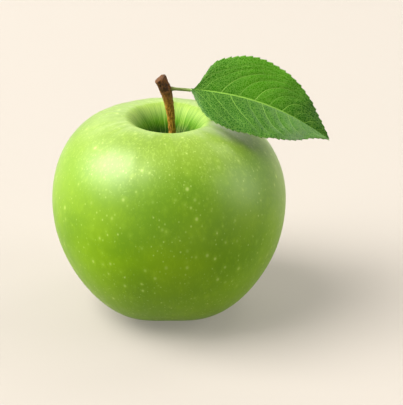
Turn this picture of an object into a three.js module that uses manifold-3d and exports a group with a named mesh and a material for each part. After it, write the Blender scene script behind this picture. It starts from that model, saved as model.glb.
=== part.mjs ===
// A green apple with its stem and one leaf, standing on the lobes round its calyx.
// Millimetres, +Z up. The pieces are modelled round the fruit's own axis, with the
// resting plane at z = 0, and the finished group is then centred on its bounding box.
import * as THREE from "three";
import { mergeVertices } from "three/addons/utils/BufferGeometryUtils.js";
import Module from "manifold-3d";

const wasm = await Module();
wasm.setup();

// ---------- driving dimensions ----------

const FRUIT_DIAMETER = 80;
const FRUIT_HEIGHT = 68.6; // from the resting plane to the crest round the stem cavity
const EQUATOR_HEIGHT = 38.6; // where the fruit is widest
const CREST_RADIUS = 15; // the highest ring, round the stem cavity
const CAVITY_DEPTH = 13;
const CAVITY_FLOOR_RADIUS = 2.4;
const BASE_RADIUS = 11.8; // the lowest ring, round the calyx basin
const BASIN_DEPTH = 7;
const BASIN_FLOOR_RADIUS = 4.6;

const LOBES = 5; // one over each seed chamber
const LOBE_BULGE = 0.4; // how far a lobe stands out near the base
const LOBE_DROP = 0.3; // how far a lobe reaches down past the mean base
const CREST_WAVE = 0.12; // the same lobes, fainter, round the crest
const CREST_TILT = 1.3; // rise of the crest towards -X, per fruit radius
const REST_TRIM = 0.2; // taken off each lobe's end, to leave the flat spots it stands on

const STEM_RISE = 13.8; // of the stem's tip above the crest
const STEM_RADIUS = 1.2;
const STEM_TIP_RADIUS = 1.9;
const STEM_LEAN = 3.84; // sideways travel of the stem from foot to tip, towards -X
const STEM_FOOT_OFFSET = 1.2; // of the stem's foot from the axis, towards +X
const STEM_SINK = 3; // depth of the stem in the flesh
const STEM_CUT_SLOPE = 0.3; // slope of the broken end, beyond square to the stem

const LEAF_LENGTH = 46.3; // of the blade, measured in a straight line along X
const LEAF_HALF_WIDTH = 15;
const LEAF_THICKNESS = 0.5;
const LEAF_DROOP = 16; // fall of the tip below the blade's base
const LEAF_SWING = 4.8; // travel of the tip towards -Y
const LEAF_ROLL = 41; // degrees, the blade's turn about its midrib, near edge down
const LEAF_FOLD = 12.5; // degrees, each half's rise from flat
const LEAF_CURL = 0.7; // fall of the margins below the folded plane
const MIDRIB_RADIUS = 0.5;
const MIDRIB_END_RADIUS = 0.2;
const MIDRIB_DROP = 0.35; // of the midrib below the middle of the blade
const PETIOLE_REACH = 9.93; // from the stem's tip across to the blade
const PETIOLE_DROP = 3.7; // of the petiole's root below the stem's tip
const PETIOLE_RADIUS = 0.55;
const PETIOLE_ROOT_RADIUS = 0.85;

const SEPAL_LENGTH = 5;
const SEPAL_WIDTH = 2.6;
const SEPAL_THICKNESS = 0.5;
const SEPAL_ROOT_RADIUS = 3.3;
const SEPAL_WAIST_RADIUS = 2; // where the sepals lean together
const SEPAL_TIP_RADIUS = 2.9; // where their dry tips curl back out
const STAMEN_TUFT_RADIUS = 0.85;
const STAMEN_TUFT_LENGTH = 3;

const CLEARANCE = 0.3; // between pieces that meet

const FRUIT_SEGMENTS = 10 * LOBES;
const PROFILE_STEPS = 9; // on each curve of the fruit's profile

// ---------- small tools ----------

const radians = THREE.MathUtils.degToRad;
const mix = THREE.MathUtils.lerp;
const smooth = THREE.MathUtils.smoothstep;

function solidOf(geometry) {
  const bare = geometry.clone();
  bare.deleteAttribute("normal");
  bare.deleteAttribute("uv");
  const merged = mergeVertices(bare, 1e-4);
  return new wasm.Manifold(
    new wasm.Mesh({
      numProp: 3,
      vertProperties: new Float32Array(merged.attributes.position.array),
      triVerts: new Uint32Array(merged.index.array),
    }),
  );
}

function geometryOf(solid) {
  const mesh = solid.getMesh();
  const geometry = new THREE.BufferGeometry();
  geometry.setAttribute("position", new THREE.BufferAttribute(mesh.vertProperties, 3));
  geometry.setIndex(new THREE.BufferAttribute(mesh.triVerts, 1));
  geometry.computeVertexNormals();
  return geometry;
}

// Moves every vertex of a geometry: place(point) changes the point it is given.
function reshape(geometry, place) {
  const positions = geometry.getAttribute("position");
  const point = new THREE.Vector3();
  for (let i = 0; i < positions.count; i++) {
    point.fromBufferAttribute(positions, i);
    place(point);
    positions.setXYZ(i, point.x, point.y, point.z);
  }
  return geometry;
}

// A closed round rod along a curve: radiusAt(share) is its radius at that share of its length.
function rod(curve, radiusAt, sides, steps) {
  const outline = [new THREE.Vector2(0, 0)];
  for (let i = 0; i <= steps; i++) outline.push(new THREE.Vector2(1, i / steps));
  outline.push(new THREE.Vector2(0, 1));
  const across = new THREE.Vector3();
  const tangent = new THREE.Vector3();
  const up = new THREE.Vector3();
  return reshape(new THREE.LatheGeometry(outline, sides), (point) => {
    const share = THREE.MathUtils.clamp(point.y, 0, 1);
    const radius = radiusAt(share);
    curve.getTangent(share, tangent);
    across.set(0, 1, 0).cross(tangent).normalize();
    up.crossVectors(tangent, across);
    const { x, z } = point;
    curve.getPoint(share, point);
    point.addScaledVector(up, x * radius).addScaledVector(across, z * radius);
  });
}

// ---------- fruit ----------

const fruitRadius = FRUIT_DIAMETER / 2;
const cavityFloor = FRUIT_HEIGHT - CAVITY_DEPTH;

// Half of the fruit's section, from the calyx end of the axis up to the stem end.
function fruitProfile() {
  const spread = fruitRadius - BASE_RADIUS;
  const fall = FRUIT_HEIGHT - EQUATOR_HEIGHT;
  const path = new THREE.Path();
  path.moveTo(0, BASIN_DEPTH);
  path.lineTo(BASIN_FLOOR_RADIUS, BASIN_DEPTH);
  path.bezierCurveTo(
    mix(BASIN_FLOOR_RADIUS, BASE_RADIUS, 0.35), BASIN_DEPTH,
    mix(BASIN_FLOOR_RADIUS, BASE_RADIUS, 0.45), 0,
    BASE_RADIUS, 0,
  );
  path.bezierCurveTo(
    BASE_RADIUS + 0.555 * spread, 0,
    fruitRadius, 0.465 * EQUATOR_HEIGHT,
    fruitRadius, EQUATOR_HEIGHT,
  );
  path.bezierCurveTo(
    fruitRadius, EQUATOR_HEIGHT + 0.57 * fall,
    mix(CREST_RADIUS, fruitRadius, 0.57), FRUIT_HEIGHT,
    CREST_RADIUS, FRUIT_HEIGHT,
  );
  path.bezierCurveTo(
    mix(CAVITY_FLOOR_RADIUS, CREST_RADIUS, 0.6), FRUIT_HEIGHT,
    mix(CAVITY_FLOOR_RADIUS, CREST_RADIUS, 0.35), cavityFloor,
    CAVITY_FLOOR_RADIUS, cavityFloor,
  );
  path.lineTo(0, cavityFloor);
  return path.getPoints(PROFILE_STEPS);
}

// Makes the turned shape uneven. The lobes are strong round the base, gone at the equator
// and faint round the crest, with a valley at the front, and the crest tilts a little.
function growUneven(point) {
  const radius = Math.hypot(point.x, point.y);
  const angle = Math.atan2(point.y, point.x);
  const wave = -Math.cos(LOBES * (angle + Math.PI / 2));
  const low = smooth(EQUATOR_HEIGHT - point.z, 0, EQUATOR_HEIGHT);
  const outside = smooth(radius, BASIN_FLOOR_RADIUS, BASE_RADIUS);
  const high = smooth(point.z, EQUATOR_HEIGHT, FRUIT_HEIGHT);
  const onCrest = smooth(radius, CAVITY_FLOOR_RADIUS, CREST_RADIUS);
  const grown = radius + LOBE_BULGE * wave * low * outside;
  point.x = grown * Math.cos(angle);
  point.y = grown * Math.sin(angle);
  point.z += wave * (CREST_WAVE * high * onCrest - LOBE_DROP * low * outside);
  point.z -= (CREST_TILT * high * point.x) / fruitRadius;
}

function fruitSolid(stemHole) {
  const lathe = new THREE.LatheGeometry(fruitProfile(), FRUIT_SEGMENTS).rotateX(Math.PI / 2);
  const body = solidOf(reshape(lathe, growUneven));
  const block = new THREE.BoxGeometry(FRUIT_DIAMETER, FRUIT_DIAMETER, BASIN_DEPTH);
  block.translate(0, 0, REST_TRIM - LOBE_DROP - BASIN_DEPTH / 2);
  return body.subtract(solidOf(block)).subtract(stemHole);
}

// ---------- stem ----------

const stemTip = new THREE.Vector3(
  STEM_FOOT_OFFSET - STEM_LEAN, 0, FRUIT_HEIGHT + STEM_RISE,
);

function stemCurve() {
  const foot = new THREE.Vector3(STEM_FOOT_OFFSET, 0, cavityFloor - STEM_SINK);
  const rise = stemTip.z - foot.z;
  return new THREE.CubicBezierCurve3(
    foot,
    new THREE.Vector3(foot.x + 0.13 * STEM_LEAN, 0, foot.z + 0.37 * rise),
    new THREE.Vector3(foot.x - 0.08 * STEM_LEAN, 0, foot.z + 0.76 * rise),
    stemTip,
  );
}

function stemRadiusAt(share) {
  return mix(STEM_RADIUS, STEM_TIP_RADIUS, smooth(share, 0.35, 1.05) ** 1.1);
}

// The stem, grown all over by extra.
function stemSolid(extra) {
  const shape = rod(stemCurve(), (share) => stemRadiusAt(share) + extra, 12, 14);
  const sloped = reshape(shape, (point) => {
    const near = smooth(point.z, stemTip.z - STEM_TIP_RADIUS, stemTip.z - 0.5);
    point.z += near * (extra + STEM_CUT_SLOPE * (point.x - stemTip.x));
    if (point.z < cavityFloor - STEM_SINK + 0.5) point.z -= extra;
  });
  return solidOf(sloped);
}

// ---------- leaf ----------

// The midrib runs out along +X, falls towards its tip and swings a little towards -Y.
const bladeBase = new THREE.Vector3(
  stemTip.x + PETIOLE_REACH, -0.5, stemTip.z - PETIOLE_DROP,
);

// A point given as shares of the blade's length, swing and droop.
function fromBladeBase(length, swing, droop) {
  return new THREE.Vector3(
    bladeBase.x + length * LEAF_LENGTH,
    bladeBase.y - swing * LEAF_SWING,
    bladeBase.z - droop * LEAF_DROOP,
  );
}

const midrib = new THREE.CubicBezierCurve3(
  bladeBase,
  fromBladeBase(0.53, 0.73, 0.05),
  fromBladeBase(0.76, 0.9, 0.53),
  fromBladeBase(1, 1, 1),
);

// Half the blade's outline: x is the share of its length, y the share of its half-width.
const margin = new THREE.CubicBezierCurve(
  new THREE.Vector2(0, 0),
  new THREE.Vector2(0.135, 1.83),
  new THREE.Vector2(0.635, 0.73),
  new THREE.Vector2(1, 0),
);

// Puts a point of the blade in space. share runs 0 to 1 along the margin, across is -1 at
// the near margin and 1 at the far one, and lift is the height above the blade's middle.
function placeOnBlade(point, share, across, lift) {
  const edge = margin.getPoint(share);
  const tangent = midrib.getTangent(edge.x);
  const near = tangent.clone().cross(new THREE.Vector3(0, 0, 1)).normalize();
  const up = near.clone().cross(tangent);
  const roll = LEAF_ROLL + LEAF_FOLD * Math.sign(across);
  const cos = Math.cos(radians(roll));
  const sin = Math.sin(radians(roll));
  const reach = across * Math.max(LEAF_HALF_WIDTH * edge.y, MIDRIB_END_RADIUS);
  const height = lift - LEAF_CURL * edge.y * across ** 2;
  midrib.getPoint(edge.x, point);
  point.addScaledVector(near, sin * height - cos * reach);
  point.addScaledVector(up, cos * height + sin * reach);
}

// The stalk runs from inside the stem to the foot of the midrib.
function petioleCurve() {
  const end = bladeBase.clone().setZ(bladeBase.z - MIDRIB_DROP);
  const root = new THREE.Vector3(stemTip.x + 0.35 * STEM_LEAN, 0, end.z + 0.4);
  const bend = new THREE.Vector3(mix(root.x, end.x, 0.5), root.y, root.z - 0.1);
  return new THREE.QuadraticBezierCurve3(root, bend, end);
}

function leafSolid(stemRoom) {
  const sheet = new THREE.BoxGeometry(1, 2, LEAF_THICKNESS, 20, 8, 1);
  const blade = reshape(sheet, (point) => {
    const share = mix(0.015, 0.985, point.x + 0.5);
    placeOnBlade(point, share, point.y, point.z * mix(1, 0.6, share));
  });
  const ribRadius = (share) => mix(MIDRIB_RADIUS, MIDRIB_END_RADIUS, share);
  const rib = rod(midrib, ribRadius, 8, 14).translate(0, 0, -MIDRIB_DROP);
  const stalkRadius = (share) =>
    mix(PETIOLE_ROOT_RADIUS, PETIOLE_RADIUS, smooth(share, 0.1, 0.5));
  const stalk = rod(petioleCurve(), stalkRadius, 8, 8);
  return solidOf(blade).add(solidOf(rib)).add(solidOf(stalk)).subtract(stemRoom);
}

// ---------- calyx ----------

// One sepal stands on the basin's floor, points down, leans in and curls out at its tip.
function sepalSolid(turn) {
  const root = BASIN_DEPTH - CLEARANCE;
  const shape = new THREE.BoxGeometry(1, 1, 1, 1, 2, 6);
  reshape(shape, (point) => {
    const along = point.z + 0.5;
    const lean = smooth(along, 0, 0.65);
    const curl = smooth(along, 0.6, 1);
    const waist = mix(SEPAL_ROOT_RADIUS, SEPAL_WAIST_RADIUS, lean);
    const radius = mix(waist, SEPAL_TIP_RADIUS, curl) + SEPAL_THICKNESS * (0.5 - point.x);
    const width = SEPAL_WIDTH * mix(1, 0.12, along ** 1.3);
    point.set(radius, width * point.y, root - SEPAL_LENGTH * along);
  });
  return solidOf(shape.rotateZ(turn));
}

// The dry stamens, as one small tapered plug between the sepals.
function stamenSolid() {
  const root = BASIN_DEPTH - CLEARANCE;
  const outline = [
    new THREE.Vector2(0, root - STAMEN_TUFT_LENGTH),
    new THREE.Vector2(0.6 * STAMEN_TUFT_RADIUS, root - STAMEN_TUFT_LENGTH),
    new THREE.Vector2(STAMEN_TUFT_RADIUS, root),
    new THREE.Vector2(0, root),
  ];
  return solidOf(new THREE.LatheGeometry(outline, 10).rotateX(Math.PI / 2));
}

// ---------- assembly ----------

const apple = new THREE.Group();

function addPiece(name, solid, color, roughness) {
  const material = new THREE.MeshStandardMaterial({ color, roughness, metalness: 0 });
  const mesh = new THREE.Mesh(geometryOf(solid), material);
  mesh.name = name;
  apple.add(mesh);
}

const stemRoom = stemSolid(CLEARANCE);
addPiece("fruit", fruitSolid(stemRoom), 0x86b417, 0.3);
addPiece("stem", stemSolid(0), 0x7a5426, 0.8);
addPiece("leaf", leafSolid(stemRoom), 0x3f8a24, 0.5);
for (let i = 0; i < LOBES; i++) {
  const turn = ((i + 0.5) / LOBES) * 2 * Math.PI;
  addPiece(`sepal_${i + 1}`, sepalSolid(turn), 0x6b5a35, 0.9);
}
addPiece("stamens", stamenSolid(), 0x3d2a18, 0.95);

// The part's origin is the middle of its bounding box, on the resting plane.
const bounds = new THREE.Box3().setFromObject(apple);
const centre = bounds.getCenter(new THREE.Vector3());
apple.position.set(-centre.x, -centre.y, -bounds.min.z);

export default apple;
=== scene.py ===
import math
import random

import bmesh
import bpy
from mathutils import Matrix, Vector
from mathutils.geometry import interpolate_bezier
from mathutils.noise import noise


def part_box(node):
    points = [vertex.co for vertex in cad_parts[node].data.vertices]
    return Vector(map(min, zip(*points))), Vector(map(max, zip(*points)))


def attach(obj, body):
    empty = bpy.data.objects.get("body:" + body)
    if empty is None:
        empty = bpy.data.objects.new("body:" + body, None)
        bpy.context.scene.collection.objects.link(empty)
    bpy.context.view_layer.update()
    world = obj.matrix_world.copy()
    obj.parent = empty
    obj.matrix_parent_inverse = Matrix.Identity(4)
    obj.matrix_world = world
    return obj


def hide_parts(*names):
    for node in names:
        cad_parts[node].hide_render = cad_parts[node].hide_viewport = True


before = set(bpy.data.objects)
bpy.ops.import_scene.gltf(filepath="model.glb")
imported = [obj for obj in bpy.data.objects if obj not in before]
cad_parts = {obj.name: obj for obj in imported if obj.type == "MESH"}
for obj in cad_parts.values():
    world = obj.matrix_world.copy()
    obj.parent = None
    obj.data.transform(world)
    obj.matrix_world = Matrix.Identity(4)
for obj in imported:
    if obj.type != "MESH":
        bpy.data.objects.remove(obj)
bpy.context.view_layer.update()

# A green apple with its stem, one leaf and its dry calyx. Lengths are in millimetres round the
# fruit's own axis, and the fruit rests at REST_LEVEL, until settle() brings a piece into the
# frame, which is in metres. The studio and the camera are in metres from the start.

MM = 1000

FRUIT_RADIUS = 40
FRUIT_HEIGHT = 68.6
EQUATOR_HEIGHT = 38.6
CREST_RADIUS = 15
CAVITY_FLOOR = 55.6
CAVITY_FLOOR_RADIUS = 2.4
CAVITY_DIP = 0.4
BASE_RADIUS = 11.8
BASIN_DEPTH = 7
BASIN_FLOOR_RADIUS = 4.6
LOBES = 5
LOBE_SWELL = 0.4
LOBE_FEET = 0.3
CREST_WAVE = 0.12
CREST_PUCKER = 0.18
CREST_TILT = 1.3
UNEVEN = 0.3
FRUIT_SIDES = 200
REST_LEVEL = -0.1

STEM_FOOT = Vector((1.2, 0, CAVITY_FLOOR - 3))
STEM_TIP = Vector((-2.64, 0, FRUIT_HEIGHT + 13.8))
STEM_LEAN = STEM_FOOT.x - STEM_TIP.x
STEM_RADIUS = 1.18
STEM_TIP_RADIUS = 2.0
STEM_FOOT_FLARE = 0.5
STEM_ROUNDING = 0.18
STEM_CUT_SLOPE = 0.26
KNUCKLE_RADIUS = 1.3
KNUCKLE_SWELL = 0.35

LEAF_LENGTH = 46.3
LEAF_HALF_WIDTH = 14.8
LEAF_DROOP = 16
LEAF_SWING = 4.8
LEAF_ROLL = math.radians(41)
LEAF_FOLD = math.radians(12.5)
LEAF_CURL = 0.7
LEAF_THICKNESS = 0.26
BLADE_BASE = Vector((STEM_TIP.x + 9.93, -0.5, STEM_TIP.z - 3.7))
TEETH = 27
VEINS = 10
VEIN_SLANT = 0.1
FAR_BEND = 0.5
NEAR_BEND = 0.2
BLADE_START = 0.004
BLADE_END = 0.994
RIB_DEPTH = 0.62

CALYX_FOOT = BASIN_DEPTH + 0.1
SEPAL_LENGTH = 5
SEPAL_HALF_WIDTH = 1.3
SEPAL_THICKNESS = 0.3
THREADS = 16
THREAD_TURN = 2.4
THREAD_SPREAD = 0.18
CALYX_SEED = 5

LIGHT_DISTANCE = 5
LIGHT_AIM_HEIGHT = 0.035
SOFT_WHITE = (1, 0.98, 0.95)
WARM_WHITE = (1, 0.98, 0.94)
DIM_ROOM = 0.15
PALE_ROOM = 0.66
FLOOR_HALF_WIDTH = 25
CAMERA_ELEVATION = math.radians(24.5)
CAMERA_DISTANCE = 0.45
CAMERA_LENS = 116
CAMERA_AIM = Vector((0.01103, 0, 0.03465))
CAMERA_RAISE = 0.0025

fruit_low, fruit_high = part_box("fruit")
fruit_axis = Vector(((fruit_low.x + fruit_high.x) / 2, (fruit_low.y + fruit_high.y) / 2, 0))
rest_shift = Vector((0, 0, fruit_low.z - REST_LEVEL / MM))


# ---------- shaping ----------


def blend(low, high, share):
    return low + (high - low) * share


def ease(value, low, high):
    """0 at low, 1 at high, with a soft start and end."""
    share = min(max((value - low) / (high - low), 0), 1)
    return share * share * (3 - 2 * share)


def bezier(curve, share):
    a, b, c, d = curve
    rest = 1 - share
    return a * rest**3 + b * (3 * rest**2 * share) + c * (3 * rest * share**2) + d * share**3


def bezier_direction(curve, share):
    a, b, c, d = curve
    rest = 1 - share
    slope = (b - a) * rest**2 + (c - b) * (2 * rest * share) + (d - c) * share**2
    return slope.normalized()


def settle(bm, name, *materials):
    """Turns a mesh in millimetres round the fruit's axis into a piece in the frame."""
    bmesh.ops.scale(bm, vec=(1 / MM, 1 / MM, 1 / MM), verts=bm.verts)
    bmesh.ops.translate(bm, vec=fruit_axis + rest_shift, verts=bm.verts)
    for face in bm.faces:
        face.smooth = True
    mesh = bpy.data.meshes.new(name)
    bm.to_mesh(mesh)
    bm.free()
    piece = bpy.data.objects.new(name, mesh)
    bpy.context.collection.objects.link(piece)
    for material in materials:
        mesh.materials.append(material)
    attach(piece, "root")
    return piece


def turned(bm, outline, sides):
    """Spins an outline of (radius, height) points that starts and ends on the axis."""
    line = [bm.verts.new((radius, 0, height)) for radius, height in outline]
    edges = [bm.edges.new(pair) for pair in zip(line, line[1:])]
    bmesh.ops.spin(
        bm, geom=line + edges, axis=(0, 0, 1), cent=(0, 0, 0),
        angle=2 * math.pi, steps=sides, use_merge=True,
    )
    bmesh.ops.remove_doubles(bm, verts=bm.verts, dist=1e-5)
    bmesh.ops.recalc_face_normals(bm, faces=bm.faces)


def rod(curve, radius_at, sides, steps):
    """A closed round rod along a curve, with its radius given by its share of the length."""
    bm = bmesh.new()
    outline = [(0, 0)] + [(1, i / steps) for i in range(steps + 1)] + [(0, 1)]
    turned(bm, outline, sides)
    for vert in bm.verts:
        share = min(max(vert.co.z, 0), 1)
        direction = bezier_direction(curve, share)
        across = Vector((0, 1, 0)).cross(direction).normalized()
        other = direction.cross(across)
        radius = radius_at(share)
        reach = across * (vert.co.x * radius) + other * (vert.co.y * radius)
        vert.co = bezier(curve, share) + reach
    return bm


def join(bm, other, material_index=0):
    """Adds the other mesh to bm, with its faces on one of the piece's materials."""
    for face in other.faces:
        face.material_index = material_index
    mesh = bpy.data.meshes.new("joined")
    other.to_mesh(mesh)
    other.free()
    bm.from_mesh(mesh)
    bpy.data.meshes.remove(mesh)


# ---------- finishes ----------


class Finish:
    """A node material made by short calls, which hand each other output sockets."""

    def __init__(self, name, **settings):
        self.material = bpy.data.materials.new(name)
        self.material.use_nodes = True
        self.tree = self.material.node_tree
        self.shader = self.tree.nodes["Principled BSDF"]
        for setting, value in settings.items():
            self.shader.inputs[setting.replace("_", " ")].default_value = value

    def feed(self, socket, value):
        if isinstance(value, bpy.types.NodeSocket):
            self.tree.links.new(value, socket)
        else:
            socket.default_value = value

    def node(self, kind, inputs, **settings):
        made = self.tree.nodes.new(kind)
        for setting, value in settings.items():
            setattr(made, setting, value)
        for key, value in inputs.items():
            self.feed(made.inputs[key], value)
        return made

    def place(self, scale=(MM, MM, MM), shift=(0, 0, 0)):
        """The point in millimetres round the fruit's axis, shifted and then stretched."""
        coordinates = self.node("ShaderNodeTexCoord", {})
        centred = Vector(shift) - MM * (fruit_axis + rest_shift)
        spot = [centred[i] * scale[i] / MM for i in range(3)]
        inputs = {"Vector": coordinates.outputs["Object"], "Location": spot, "Scale": scale}
        return self.node("ShaderNodeMapping", inputs).outputs[0]

    def split(self, vector):
        return self.node("ShaderNodeSeparateXYZ", {0: vector}).outputs

    def gather(self, x, y, z):
        return self.node("ShaderNodeCombineXYZ", {0: x, 1: y, 2: z}).outputs[0]

    def math(self, operation, *values):
        inputs = dict(enumerate(values))
        return self.node("ShaderNodeMath", inputs, operation=operation).outputs[0]

    def remap(self, value, low, high, new_low=0.0, new_high=1.0):
        inputs = {0: value, 1: low, 2: high, 3: new_low, 4: new_high}
        return self.node("ShaderNodeMapRange", inputs, interpolation_type="SMOOTHSTEP").outputs[0]

    def noise(self, vector, scale, detail=3.0, roughness=0.5):
        inputs = {"Vector": vector, "Scale": scale, "Detail": detail, "Roughness": roughness}
        return self.node("ShaderNodeTexNoise", inputs).outputs[0]

    def cells(self, vector, scale, feature="F1"):
        inputs = {"Vector": vector, "Scale": scale}
        return self.node("ShaderNodeTexVoronoi", inputs, feature=feature).outputs

    def mix(self, share, a, b):
        inputs = {0: share, 6: a, 7: b}
        return self.node("ShaderNodeMix", inputs, data_type="RGBA").outputs[2]

    def bump(self, height, depth, under=None):
        """Raises the surface by up to depth, in millimetres; a negative depth is taken as 0 and gives
        no relief.
        """
        inputs = {"Height": height, "Distance": depth / MM}
        if under:
            inputs["Normal"] = under
        return self.node("ShaderNodeBump", inputs).outputs[0]

    def finish(self, **sockets):
        for name, value in sockets.items():
            self.feed(self.shader.inputs[name.replace("_", " ")], value)
        return self.material


def shade(red, green, blue):
    """A colour given as it looks on a screen, 0 to 255, as the shader wants it."""
    parts = [part / 255 for part in (red, green, blue)]
    linear = [((p + 0.055) / 1.055) ** 2.4 if p > 0.04 else p / 12.92 for p in parts]
    return (*linear, 1)


def spots(finish, point, scale, size, softness):
    """Round spots of mixed size and strength: 1 inside a strong spot and 0 between them."""
    cell = finish.cells(point, scale)
    pick, strength, _ = finish.split(cell["Color"])
    reach = finish.math("MULTIPLY", finish.math("MULTIPLY_ADD", pick, 0.7, 0.3), size * scale)
    inside = finish.math("SUBTRACT", reach, cell["Distance"])
    spot = finish.remap(inside, -softness * scale, softness * scale)
    return finish.math("MULTIPLY", spot, finish.math("MULTIPLY_ADD", strength, 0.7, 0.3))


def skin_finish():
    finish = Finish(
        "waxy green skin", Specular_IOR_Level=0.32, IOR=1.48, Specular_Tint=(0.85, 1, 0.45, 1),
        Coat_Roughness=0.46, Coat_IOR=1.6,
    )
    point = finish.place()
    x, y, z = finish.split(point)
    radius = finish.math("SQRT", finish.math("MULTIPLY_ADD", x, x, finish.math("MULTIPLY", y, y)))
    safe = finish.math("MAXIMUM", radius, 0.5)
    along_x = finish.math("DIVIDE", x, safe)
    along_y = finish.math("DIVIDE", y, safe)
    run = finish.math("MULTIPLY", finish.math("SUBTRACT", radius, z), 0.013)
    meridian = finish.gather(along_x, along_y, run)

    # Zones: the cavity, the crest and shoulders, the flanks and the calyx end.
    inside = finish.math("MULTIPLY", finish.remap(radius, 17.0, 10.0), finish.remap(z, 46.0, 50.0))
    crest = finish.remap(z, 56.0, 68.5)
    low = finish.remap(z, 26.0, 2.0)
    patches = finish.noise(point, 0.05, 2.0)
    skin = finish.mix(finish.remap(patches, 0.3, 0.7), shade(100, 141, 0), shade(117, 155, 0))
    # Painted light: the lower flanks and the calyx end are lifted to a paler, yellower green.
    skin = finish.mix(finish.math("MULTIPLY", low, 0.4), skin, shade(126, 164, 2))
    # Painted shade: the crest and shoulders are darkened towards a dull olive.
    skin = finish.mix(finish.math("MULTIPLY", crest, 0.4), skin, shade(118, 136, 36))
    # Painted light and shade in the cavity: pale at its rim and darkening to near black at its floor.
    cavity = finish.mix(finish.remap(z, 69.0, 63.0), shade(164, 190, 108), shade(84, 140, 0))
    cavity = finish.mix(finish.remap(z, 65.0, 60.5), cavity, shade(4, 50, 0))
    skin = finish.mix(inside, skin, cavity)

    # Fine streaks along the meridians: unbroken in the cavity, short dashes on the outside.
    coarse = finish.noise(meridian, 12.0, 2.0, 0.6)
    fine = finish.noise(meridian, 44.0, 2.0, 0.6)
    streak = finish.math("MULTIPLY_ADD", coarse, 0.25, finish.math("MULTIPLY", fine, 0.75))
    pale_streak = finish.remap(streak, 0.5, 0.64)
    dark_streak = finish.remap(streak, 0.5, 0.4)
    on_crest = finish.math("MULTIPLY", finish.remap(z, 50.0, 66.0), 0.1)
    in_cavity = finish.math("MULTIPLY_ADD", inside, 0.14, on_crest)
    skin = finish.mix(finish.math("MULTIPLY", pale_streak, in_cavity), skin, shade(196, 216, 130))
    dark_share = finish.math("MULTIPLY", dark_streak, finish.math("MULTIPLY", inside, 0.45))
    skin = finish.mix(dark_share, skin, shade(40, 96, 0))
    skin = finish.mix(finish.math("MULTIPLY", pale_streak, 0.14), skin, shade(148, 180, 20))

    # Pale breathing pores: scattered on the flanks, smaller and closer towards both ends.
    taller = (MM, MM, 0.8 * MM)
    stretched = finish.place(scale=taller)
    shifted = finish.place(scale=taller, shift=(7, 3, 5))
    large = spots(finish, stretched, scale=0.3, size=0.5, softness=0.34)
    halo = spots(finish, stretched, scale=0.3, size=1.1, softness=0.85)
    medium = spots(finish, shifted, scale=0.6, size=0.28, softness=0.2)
    small = spots(finish, stretched, scale=1.05, size=0.2, softness=0.12)
    ends = finish.math("MAXIMUM", finish.remap(z, 34.0, 12.0), finish.remap(z, 48.0, 64.0))
    small = finish.math("MULTIPLY", small, finish.math("MULTIPLY_ADD", ends, 0.7, 0.2))
    pores = finish.math("MAXIMUM", finish.math("MAXIMUM", large, medium), small)
    pores = finish.math("MULTIPLY", pores, finish.remap(inside, 0.7, 0.2))
    skin = finish.mix(finish.math("MULTIPLY", halo, 0.2), skin, shade(164, 196, 60))
    skin = finish.mix(finish.math("MULTIPLY", pores, 0.55), skin, shade(192, 212, 124))

    # The wax shines on the crest and shoulders, and fades out below them and in the cavity.
    patch = finish.noise(point, 0.35, 2.0)
    rough = finish.remap(patch, 0.3, 0.7, 0.36, 0.42)
    rough = finish.math("MULTIPLY_ADD", inside, 0.3, rough)
    outside = finish.remap(inside, 0.6, 0.0, 0.0, 0.85)
    wax = finish.math("MULTIPLY", finish.remap(z, 32.0, 58.0), outside)
    relief = finish.bump(finish.noise(point, 5.0, 3.0, 0.6), 0.008)
    relief = finish.bump(finish.noise(meridian, 26.0, 2.0), 0.02, relief)
    relief = finish.bump(pores, 0.004, relief)
    return finish.finish(Base_Color=skin, Roughness=rough, Normal=relief, Coat_Weight=wax)


def bark_finish():
    finish = Finish("dry brown bark", Specular_IOR_Level=0.35)
    point = finish.place()
    height = finish.split(point)[2]
    grain_way = finish.place(scale=(MM, MM, 0.22 * MM))
    fibre = finish.noise(grain_way, 3.4, 5.0, 0.7)
    blotch = finish.noise(point, 0.9, 4.0, 0.6)
    pits = finish.cells(finish.place(scale=(MM, MM, 0.6 * MM)), 1.7)["Distance"]
    low = finish.mix(finish.remap(fibre, 0.38, 0.62), shade(116, 80, 14), shade(206, 154, 58))
    high = finish.mix(finish.remap(blotch, 0.35, 0.65), shade(52, 28, 8), shade(116, 76, 34))
    bark = finish.mix(finish.remap(height, 70.0, 80.0), low, high)
    in_pits = finish.math("MULTIPLY", finish.remap(pits, 0.28, 0.05), 0.5)
    bark = finish.mix(in_pits, bark, shade(58, 36, 16))
    cut = finish.remap(height, 82.2, 83.4)
    bark = finish.mix(finish.math("MULTIPLY", cut, 0.7), bark, shade(72, 46, 22))
    relief = finish.bump(fibre, 0.25)
    relief = finish.bump(pits, 0.12, relief)
    rough = finish.remap(blotch, 0.3, 0.7, 0.55, 0.8)
    return finish.finish(Base_Color=bark, Roughness=rough, Normal=relief)


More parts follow.
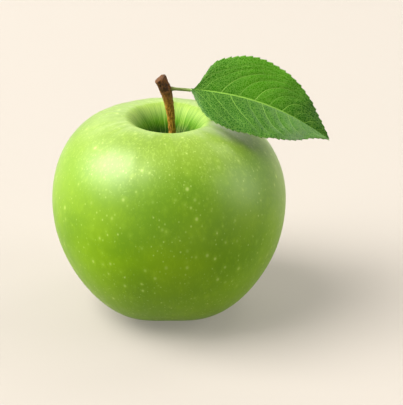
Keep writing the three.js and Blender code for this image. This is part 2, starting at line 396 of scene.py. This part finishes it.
def blade_finish(name, deep, light, line, under):
    """A leaf's side: two greens, the colour of its veins, and whether it is the underside."""
    finish = Finish(
        name, Specular_IOR_Level=0.2, Specular_Tint=(0.75, 1, 0.45, 1), Coat_Roughness=0.4,
    )
    point = finish.place()
    chart = finish.node("ShaderNodeUVMap", {}, uv_map="blade").outputs[0]
    along, across, _ = finish.split(chart)
    side = finish.math("SUBTRACT", across, 0.5)
    out = finish.math("MULTIPLY", finish.math("ABSOLUTE", side), 2.0)

    # The side veins take the same sweep as the quilting in the mesh.
    far = finish.math("GREATER_THAN", side, 0.0)
    bend = finish.math("MULTIPLY_ADD", far, FAR_BEND - NEAR_BEND, NEAR_BEND)
    steeper = finish.math("MULTIPLY_ADD", far, finish.math("SUBTRACT", out, 1.0), 1.0)
    bend = finish.math("MULTIPLY", finish.math("MULTIPLY", bend, out), steeper)
    sweep = finish.math("MULTIPLY", out, finish.math("ADD", bend, VEIN_SLANT))
    start = finish.math("MULTIPLY", far, 0.5)
    run = finish.math("MULTIPLY_ADD", finish.math("SUBTRACT", along, sweep), VEINS, start)
    gap = finish.math("PINGPONG", run, 0.5)
    main = finish.remap(finish.math("PINGPONG", run, 1.0), 0.25, 0.75, 1.0, 0.55)
    vein = finish.math("MULTIPLY", finish.remap(gap, 0.042, 0.01), main)
    vein = finish.math("MULTIPLY", vein, finish.remap(out, 1.0, 0.55))
    fading = finish.remap(along, 0.9, 0.4, 0.2, 1.0)
    midrib = finish.math("MULTIPLY", finish.remap(out, 0.026, 0.01), fading)

    net = finish.cells(point, 1.5, "DISTANCE_TO_EDGE")["Distance"]
    mesh_line = finish.remap(net, 0.15, 0.02)
    ladder = finish.cells(point, 0.7, "DISTANCE_TO_EDGE")["Distance"]
    ladder_line = finish.remap(ladder, 0.07, 0.015)
    tint = finish.noise(point, 0.12, 3.0)

    # Painted light and shade along the blade: the near half is painted lighter towards its tip as a
    # painted sheen, and the far half darker at its foot and much darker at its tip as painted shade of
    # its curve. The noise tint is the leaf's own random tone.
    near_painted_shade = finish.math("MULTIPLY_ADD", along, -0.5, 0.7)
    far_painted_shade = finish.math("ABSOLUTE", finish.math("MULTIPLY_ADD", along, 1.9, -0.72))
    painted_shade_change = finish.math("SUBTRACT", far_painted_shade, near_painted_shade)
    depth = finish.math("MULTIPLY_ADD", far, painted_shade_change, near_painted_shade)
    reach = finish.math("MULTIPLY_ADD", tint, 0.6, depth)
    green = finish.mix(finish.remap(reach, 0.3, 1.1), light, deep)
    pale_mesh = finish.math("MULTIPLY", mesh_line, 0.42)
    pale_ladder = finish.math("MULTIPLY", ladder_line, 0.3)
    green = finish.mix(finish.math("MAXIMUM", pale_mesh, pale_ladder), green, line)
    green = finish.mix(finish.math("MULTIPLY", vein, 0.85), green, line)
    # Painted highlight: a pale line along the margin for the lit edge of the blade.
    painted_edge_highlight = finish.math("MULTIPLY", finish.remap(out, 0.965, 0.995), 0.4)
    green = finish.mix(painted_edge_highlight, green, line)
    green = finish.mix(midrib, green, line)

    # Veins stand proud of the underside; the upper side's negative depth gives it no relief, and the
    # upper side has a glossy coat.
    way = 1 if under else -1
    relief = finish.bump(mesh_line, 0.03 * way)
    relief = finish.bump(ladder_line, 0.05 * way, relief)
    relief = finish.bump(vein, 0.1 * way, relief)
    rough = finish.remap(tint, 0.3, 0.7, 0.36, 0.46)
    gloss = 0.0
    if not under:
        near_half = finish.math("MULTIPLY_ADD", far, -0.9, 1.0)
        gloss = finish.math("MULTIPLY", finish.remap(along, 0.1, 0.8, 0.2, 1.0), near_half)
    return finish.finish(Base_Color=green, Roughness=rough, Normal=relief, Coat_Weight=gloss)


def rib_finish():
    finish = Finish("leaf stalk and midrib", Specular_IOR_Level=0.4)
    point = finish.place(scale=(0.3 * MM, MM, MM))
    fibre = finish.noise(point, 3.0, 3.0)
    green = finish.mix(finish.remap(fibre, 0.3, 0.7), shade(92, 108, 48), shade(124, 140, 76))
    distance = finish.split(finish.place())[0]
    green = finish.mix(finish.remap(distance, 5.0, 9.0), green, shade(140, 172, 92))
    root = finish.remap(distance, 2.2, 0.6)
    green = finish.mix(finish.math("MULTIPLY", root, 0.7), green, shade(96, 84, 34))
    relief = finish.bump(fibre, 0.05)
    rough = finish.remap(fibre, 0.3, 0.7, 0.4, 0.55)
    return finish.finish(Base_Color=green, Roughness=rough, Normal=relief)


def husk_finish(name, dark, light):
    finish = Finish(name, Specular_IOR_Level=0.2, Sheen_Weight=0.3)
    point = finish.place(scale=(MM, MM, 0.45 * MM))
    fibre = finish.noise(point, 3.0, 5.0, 0.7)
    husk = finish.mix(finish.remap(fibre, 0.3, 0.7), dark, light)
    relief = finish.bump(fibre, 0.12)
    rough = finish.remap(fibre, 0.3, 0.7, 0.75, 0.95)
    return finish.finish(Base_Color=husk, Roughness=rough, Normal=relief)


# ---------- fruit ----------


def fruit_outline():
    """Half of the fruit's section, from the calyx end of the axis up to the stem end."""
    spread = FRUIT_RADIUS - BASE_RADIUS
    shoulder = FRUIT_RADIUS - CREST_RADIUS
    fall = FRUIT_HEIGHT - EQUATOR_HEIGHT
    basin = BASE_RADIUS - BASIN_FLOOR_RADIUS
    cavity = CREST_RADIUS - CAVITY_FLOOR_RADIUS
    foot = CAVITY_FLOOR_RADIUS
    bottom = CAVITY_FLOOR - CAVITY_DIP
    curves = [
        [(0, BASIN_DEPTH), (1.6, BASIN_DEPTH), (3, BASIN_DEPTH), (BASIN_FLOOR_RADIUS, BASIN_DEPTH)],
        [
            (BASIN_FLOOR_RADIUS, BASIN_DEPTH), (BASIN_FLOOR_RADIUS + 0.35 * basin, BASIN_DEPTH),
            (BASIN_FLOOR_RADIUS + 0.45 * basin, 0), (BASE_RADIUS, 0),
        ],
        [
            (BASE_RADIUS, 0), (BASE_RADIUS + 0.555 * spread, 0),
            (FRUIT_RADIUS, 0.465 * EQUATOR_HEIGHT), (FRUIT_RADIUS, EQUATOR_HEIGHT),
        ],
        [
            (FRUIT_RADIUS, EQUATOR_HEIGHT), (FRUIT_RADIUS, EQUATOR_HEIGHT + 0.57 * fall),
            (CREST_RADIUS + 0.57 * shoulder, FRUIT_HEIGHT), (CREST_RADIUS, FRUIT_HEIGHT),
        ],
        [
            (CREST_RADIUS, FRUIT_HEIGHT), (foot + 0.6 * cavity, FRUIT_HEIGHT),
            (foot + 0.35 * cavity, CAVITY_FLOOR + 0.6), (foot, CAVITY_FLOOR),
        ],
        [(foot, CAVITY_FLOOR), (1.6, CAVITY_FLOOR - 0.3), (0.8, bottom), (0, bottom)],
    ]
    counts = [8, 30, 54, 46, 40, 8]
    outline = []
    for curve, count in zip(curves, counts):
        ends = [Vector((point[0], 0, point[1])) for point in curve]
        outline += [(spot.x, spot.z) for spot in interpolate_bezier(*ends, count)[:-1]]
    return outline + [(0, bottom)]


def grow_uneven(spot):
    """The lobes, the tilt of the crest and the small unevenness of a grown fruit."""
    radius = math.hypot(spot.x, spot.y)
    if radius < 1e-4:
        return
    angle = math.atan2(spot.y, spot.x)
    wave = -math.cos(LOBES * (angle + math.pi / 2))
    low = ease(EQUATOR_HEIGHT - spot.z, 0, EQUATOR_HEIGHT)
    outside = ease(radius, BASIN_FLOOR_RADIUS, BASE_RADIUS)
    high = ease(spot.z, EQUATOR_HEIGHT, FRUIT_HEIGHT)
    on_crest = ease(radius, CAVITY_FLOOR_RADIUS, CREST_RADIUS)
    direction = Vector((spot.x, spot.y, 0)) / radius
    swell = LOBE_SWELL * wave * low * outside
    swell += UNEVEN * on_crest * outside * noise(0.045 * spot + Vector((3, 7, 1)))
    pucker = noise(Vector((7 * direction.x, 7 * direction.y, 0.1 * radius)))
    spot.z += wave * (CREST_WAVE * high * on_crest - LOBE_FEET * low * outside)
    spot.z += CREST_PUCKER * pucker * high * on_crest
    spot.z -= CREST_TILT * high * spot.x / FRUIT_RADIUS
    spot.x += swell * direction.x
    spot.y += swell * direction.y
    spot.z = max(spot.z, REST_LEVEL)


def make_fruit():
    bm = bmesh.new()
    turned(bm, fruit_outline(), FRUIT_SIDES)
    for vert in bm.verts:
        grow_uneven(vert.co)
    skin = settle(bm, "fruit_skin", skin_finish())
    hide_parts("fruit")


# ---------- stem ----------

stem_rise = STEM_TIP.z - STEM_FOOT.z
STEM_CURVE = (
    STEM_FOOT,
    STEM_FOOT + Vector((0.13 * STEM_LEAN, 0, 0.37 * stem_rise)),
    STEM_FOOT + Vector((-0.08 * STEM_LEAN, 0, 0.76 * stem_rise)),
    STEM_TIP,
)


def stem_radius(share):
    flare = ease(share, 0.35, 1.05) ** 1.1
    foot = STEM_FOOT_FLARE * ease(share, 0.16, 0.02)
    rounding = STEM_ROUNDING * ease(share, 0.985, 1)
    return blend(STEM_RADIUS, STEM_TIP_RADIUS, flare) + foot - rounding


def make_stem():
    bm = rod(STEM_CURVE, stem_radius, sides=48, steps=90)
    knuckle = Vector((0.6, 0, BLADE_BASE.z + 0.1))
    for vert in bm.verts:
        spot = vert.co
        axis_x = bezier(STEM_CURVE, ease(spot.z, STEM_FOOT.z, STEM_TIP.z)).x
        near_tip = ease(spot.z, STEM_TIP.z - 1.9, STEM_TIP.z - 0.4)
        spot.z += near_tip * (STEM_CUT_SLOPE * min(spot.x - STEM_TIP.x, 0.5) + 0.1 * spot.y)
        outward = Vector((spot.x - axis_x, spot.y, 0))
        ridges = noise(Vector((2.2 * outward.x, 2.2 * outward.y, 0.22 * spot.z)))
        knots = noise(0.9 * spot)
        bulge = KNUCKLE_SWELL * math.exp(-((spot - knuckle).length / KNUCKLE_RADIUS) ** 2)
        spot += outward * (0.13 * ridges + 0.1 * knots) + Vector((bulge, 0, 0))
        spot.z += 0.12 * near_tip * noise(2.4 * spot)
    stem = settle(bm, "bark_stem", bark_finish())
    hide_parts("stem")


# ---------- leaf ----------


def from_blade_base(length, swing, droop):
    return BLADE_BASE + Vector((length * LEAF_LENGTH, -swing * LEAF_SWING, -droop * LEAF_DROOP))


MIDRIB = (
    BLADE_BASE,
    from_blade_base(0.53, 0.73, 0.05),
    from_blade_base(0.76, 0.9, 0.53),
    from_blade_base(1, 1, 1),
)
# Half the blade's outline: the share of its length, then the share of its half-width.
MARGIN = (Vector((0, 0)), Vector((0.135, 1.83)), Vector((0.635, 0.73)), Vector((1, 0)))


def vein_gap(along, across):
    """Distance to the nearest side vein: 0 on it and 0.5 halfway to the next."""
    out = abs(across)
    bend = FAR_BEND * out**2 if across > 0 else NEAR_BEND * out
    run = (along - out * (VEIN_SLANT + bend)) * VEINS + (0.5 if across > 0 else 0)
    return abs(run - round(run))


def tooth(along):
    """One tooth of the margin after the other, each leaning towards the tip."""
    step = (along * TEETH) % 1
    size = 0.8 + 0.5 * noise(Vector((along * TEETH * 0.7, 4, 2)))
    return size * (step / 0.8 if step < 0.8 else (1 - step) / 0.2)


def hump(value, middle, width):
    return math.exp(-((value - middle) / width) ** 2)


def blade_spot(share, across, lift):
    """A point of the blade: share runs along the margin and across from -1, near, to 1, far."""
    out = abs(across)
    calm = ease(share, 1, 0.93) * ease(share, 0, 0.06)
    bite = tooth(share) * ease(out, 0.9, 1) * calm
    edge = bezier(MARGIN, share + 0.006 * bite)
    along = edge.x

    # The blade narrows at its foot, and small humps and hollows make its two halves differ.
    pinch = 0.8 if across > 0 else 0.5
    width = LEAF_HALF_WIDTH * edge.y * (1 - pinch * math.exp(-along / 0.045))
    if across > 0:
        width += 1.3 * hump(along, 0.09, 0.05) - 1.4 * hump(along, 0.035, 0.035)
    else:
        width += 0.5 * hump(along, 0.68, 0.08) - 0.45 * hump(along, 0.86, 0.07)
        width += 0.7 * hump(along, 0.1, 0.07) - 0.9 * hump(along, 0.33, 0.1)

    # The halves fold up from the midrib, puff up between the side veins and curl down outside.
    tangent = bezier_direction(MIDRIB, along)
    near = tangent.cross(Vector((0, 0, 1))).normalized()
    up = near.cross(tangent)
    turn = LEAF_ROLL + LEAF_FOLD * min(max(across / 0.06, -1), 1)
    reach = out * max(width, 0.3) + 0.6 * bite - 0.3 * ease(out, 0.9, 1) * calm
    reach = math.copysign(reach, across)
    puff = (math.sin(math.pi * vein_gap(along, across)) - 0.5) * 4 * out * (1 - out)
    ripple = noise(Vector((7 * along, 1.8 * across, 0.7)))
    puff *= edge.y * ease(along, 0.03, 0.3) * (0.16 if across > 0 else 0.2)
    lift += puff + 0.9 * ripple * out**1.5 * calm
    lift -= LEAF_CURL * edge.y * out**2 + 0.12 * edge.y * hump(out, 0, 0.05)
    spot = bezier(MIDRIB, along)
    spot = spot + near * (math.sin(turn) * lift - math.cos(turn) * reach)
    return spot + up * (math.cos(turn) * lift + math.sin(turn) * reach)


def round_blade(spot):
    """Share, across and lift of a point of the grid, which goes over the blade and back below."""
    share = blend(BLADE_START, BLADE_END, 0.5 + 0.5 * spot.x)
    across = 1 - 2 * abs(spot.y)
    half = 0.5 * LEAF_THICKNESS * math.sqrt(1 - across**4)
    half *= ease(share, BLADE_START, 0.03) * ease(share, BLADE_END, 0.96)
    return share, across, half if spot.y < 0 else -half


def make_blade():
    """The blade as a grid wrapped round it: the upper side is material 0, the underside 1."""
    bm = bmesh.new()
    bmesh.ops.create_grid(bm, x_segments=324, y_segments=180, size=1)
    chart = bm.loops.layers.uv.new("blade")
    for face in bm.faces:
        face.material_index = 0 if face.calc_center_median().y < 0 else 1
        for loop in face.loops:
            share, across, _ = round_blade(loop.vert.co)
            loop[chart].uv = (bezier(MARGIN, share).x, 0.5 + 0.5 * across)
    for vert in bm.verts:
        vert.co = blade_spot(*round_blade(vert.co))
    bmesh.ops.remove_doubles(bm, verts=bm.verts, dist=1e-4)
    bmesh.ops.recalc_face_normals(bm, faces=bm.faces)
    return bm


def make_leaf():
    bm = make_blade()
    above = Vector((0.1, -math.sin(LEAF_ROLL), math.cos(LEAF_ROLL)))
    rib_line = (MIDRIB[0] - Vector((0, 0, 0.36)), *(point - RIB_DEPTH * above for point in MIDRIB[1:]))
    rib = rod(rib_line, lambda share: blend(0.44, 0.1, share**0.8), sides=16, steps=120)
    root = Vector((STEM_TIP.x + 0.35 * STEM_LEAN, 0, rib_line[0].z + 0.4))
    middle = Vector((blend(root.x, rib_line[0].x, 0.5), 0, root.z - 0.1))
    stalk_line = (root, root.lerp(middle, 0.667), rib_line[0].lerp(middle, 0.667), rib_line[0])
    stalk = rod(stalk_line, lambda share: blend(0.95, 0.52, ease(share, 0.1, 0.5)), sides=20, steps=60)
    join(bm, rib, 2)
    join(bm, stalk, 2)
    upper_greens = (shade(6, 72, 0), shade(57, 119, 0), shade(124, 166, 68))
    under_greens = (shade(104, 146, 76), shade(126, 164, 92), shade(170, 194, 124))
    leaf = settle(
        bm, "leaf_blade",
        blade_finish("leaf upper side", *upper_greens, under=False),
        blade_finish("leaf underside", *under_greens, under=True),
        rib_finish(),
    )
    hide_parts("leaf")


# ---------- calyx ----------


def make_sepal(index, chance, husk):
    """One dry sepal: stands on the basin's floor, leans in, and curls out at its tip."""
    bm = bmesh.new()
    bmesh.ops.create_grid(bm, x_segments=14, y_segments=36, size=1)
    length = SEPAL_LENGTH * chance.uniform(0.86, 1)
    curl = chance.uniform(0.6, 1.3)
    twist = chance.uniform(-0.25, 0.25)
    for vert in bm.verts:
        across = vert.co.x
        along = 0.5 + 0.5 * vert.co.y
        ragged = 1 + 0.12 * noise(Vector((index, 3 * along, across)))
        half = SEPAL_HALF_WIDTH * blend(1, 0.08, along**1.25) * ragged
        lean = ease(along, 0, 0.6)
        radius = blend(blend(3.3, 2.0, lean), 2.9, ease(along, 0.6, 1) * curl)
        radius += 0.5 * across**2 * (1 - along) - 0.25 * across * twist
        radius += 0.15 * noise(Vector((2 * across, 4 * along, index)))
        vert.co = Vector((radius, half * across + twist * along, CALYX_FOOT - length * along))
    bmesh.ops.recalc_face_normals(bm, faces=bm.faces)
    bmesh.ops.solidify(bm, geom=bm.faces[:], thickness=SEPAL_THICKNESS)
    turn = Matrix.Rotation((index - 0.5) / LOBES * 2 * math.pi, 3, "Z")
    bmesh.ops.rotate(bm, matrix=turn, verts=bm.verts)
    sepal = settle(bm, f"dry_sepal_{index}", husk)
    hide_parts(f"sepal_{index}")


def make_stamens(chance):
    """The dry threads between the sepals, each with a small knob at its end."""
    bm = bmesh.new()
    for i in range(THREADS):
        turn = i * THREAD_TURN
        spread = THREAD_SPREAD * math.sqrt(i)
        foot = Vector((spread * math.cos(turn), spread * math.sin(turn), CALYX_FOOT))
        lean = Vector((chance.uniform(-0.5, 0.5), chance.uniform(-0.5, 0.5), 0))
        tip = foot + lean - Vector((0, 0, chance.uniform(2.2, 3.3)))
        line = (foot, foot - Vector((0, 0, 1)), tip + Vector((0, 0, 0.8)) - 0.4 * lean, tip)
        thread = rod(line, lambda share: 0.09 + 0.14 * ease(share, 0.84, 0.95), sides=8, steps=16)
        join(bm, thread)
    husk = husk_finish("dry stamens", shade(40, 26, 14), shade(104, 76, 42))
    tuft = settle(bm, "dry_stamens", husk)
    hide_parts("stamens")


def make_calyx():
    chance = random.Random(CALYX_SEED)
    husk = husk_finish("dry sepals", shade(72, 56, 30), shade(150, 132, 84))
    for index in range(1, LOBES + 1):
        make_sepal(index, chance, husk)
    make_stamens(chance)


# ---------- studio ----------


def softbox(name, direction, width, height, power, colour):
    """A rectangular soft light that faces the middle of the fruit from a direction."""
    data = bpy.data.lights.new(name, "AREA")
    data.shape = "RECTANGLE"
    data.size = width
    data.size_y = height
    data.energy = power
    data.color = colour
    light = bpy.data.objects.new(name, data)
    bpy.context.collection.objects.link(light)
    way = Vector(direction).normalized()
    middle = fruit_axis + Vector((0, 0, LIGHT_AIM_HEIGHT))
    light.location = middle + way * LIGHT_DISTANCE
    light.rotation_euler = way.to_track_quat("Z", "Y").to_euler()


def make_backdrop():
    """A room that is pale behind the fruit and dim in front of it."""
    world = bpy.data.worlds.new("studio")
    bpy.context.scene.world = world
    world.use_nodes = True
    nodes, links = world.node_tree.nodes, world.node_tree.links
    direction = nodes.new("ShaderNodeTexCoord")
    split = nodes.new("ShaderNodeSeparateXYZ")
    links.new(direction.outputs["Generated"], split.inputs[0])
    bright = nodes.new("ShaderNodeMapRange")
    bright.interpolation_type = "SMOOTHSTEP"
    for socket, value in zip(bright.inputs[1:5], (-0.3, 0.5, DIM_ROOM, PALE_ROOM)):
        socket.default_value = value
    links.new(split.outputs["Y"], bright.inputs[0])
    backdrop = nodes["Background"]
    backdrop.inputs["Color"].default_value = (1, 0.965, 0.9, 1)
    links.new(bright.outputs[0], backdrop.inputs["Strength"])


def make_floor():
    """A wide sheet of pale paper that glows weakly."""
    bm = bmesh.new()
    bmesh.ops.create_grid(bm, x_segments=1, y_segments=1, size=FLOOR_HALF_WIDTH)
    mesh = bpy.data.meshes.new("floor")
    bm.to_mesh(mesh)
    bm.free()
    floor = bpy.data.objects.new("floor", mesh)
    bpy.context.collection.objects.link(floor)
    paper = bpy.data.materials.new("pale paper")
    paper.use_nodes = True
    sheet = paper.node_tree.nodes["Principled BSDF"]
    sheet.inputs["Base Color"].default_value = (0.3, 0.276, 0.25, 1)
    sheet.inputs["Emission Color"].default_value = (1, 0.94, 0.83, 1)
    sheet.inputs["Emission Strength"].default_value = 0.24
    sheet.inputs["Roughness"].default_value = 0.9
    sheet.inputs["Specular IOR Level"].default_value = 0.1
    mesh.materials.append(paper)


def make_studio():
    softbox("key", (-0.74, -0.15, 0.66), 5, 5, 300, SOFT_WHITE)
    softbox("window", (-0.62, -0.07, 0.78), 3.8, 3.8, 400, SOFT_WHITE)
    softbox("side", (0.9, -0.1, 0.4), 2.7, 3.7, 115, WARM_WHITE)
    softbox("top", (0.5, 0.45, 0.74), 2, 2, 42, WARM_WHITE)
    softbox("back", (-0.1, 0.9, 0.42), 5.5, 2, 58, WARM_WHITE)
    make_backdrop()
    make_floor()


def make_camera():
    """A long lens from the front and above, aimed beside the fruit to take in the leaf."""
    away = Vector((0, -math.cos(CAMERA_ELEVATION), math.sin(CAMERA_ELEVATION)))
    upward = Vector((0, math.sin(CAMERA_ELEVATION), math.cos(CAMERA_ELEVATION)))
    aim = fruit_axis + CAMERA_AIM + upward * CAMERA_RAISE
    data = bpy.data.cameras.new("camera")
    data.sensor_width = 36
    data.lens = CAMERA_LENS
    data.clip_start = 0.01
    camera = bpy.data.objects.new("camera", data)
    bpy.context.collection.objects.link(camera)
    camera.location = aim + away * CAMERA_DISTANCE
    camera.rotation_euler = away.to_track_quat("Z", "Y").to_euler()
    bpy.context.scene.camera = camera


make_fruit()
make_stem()
make_leaf()
make_calyx()
make_studio()
make_camera()
view = bpy.context.scene.view_settings
view.view_transform = "Standard"
view.gamma = 0.92
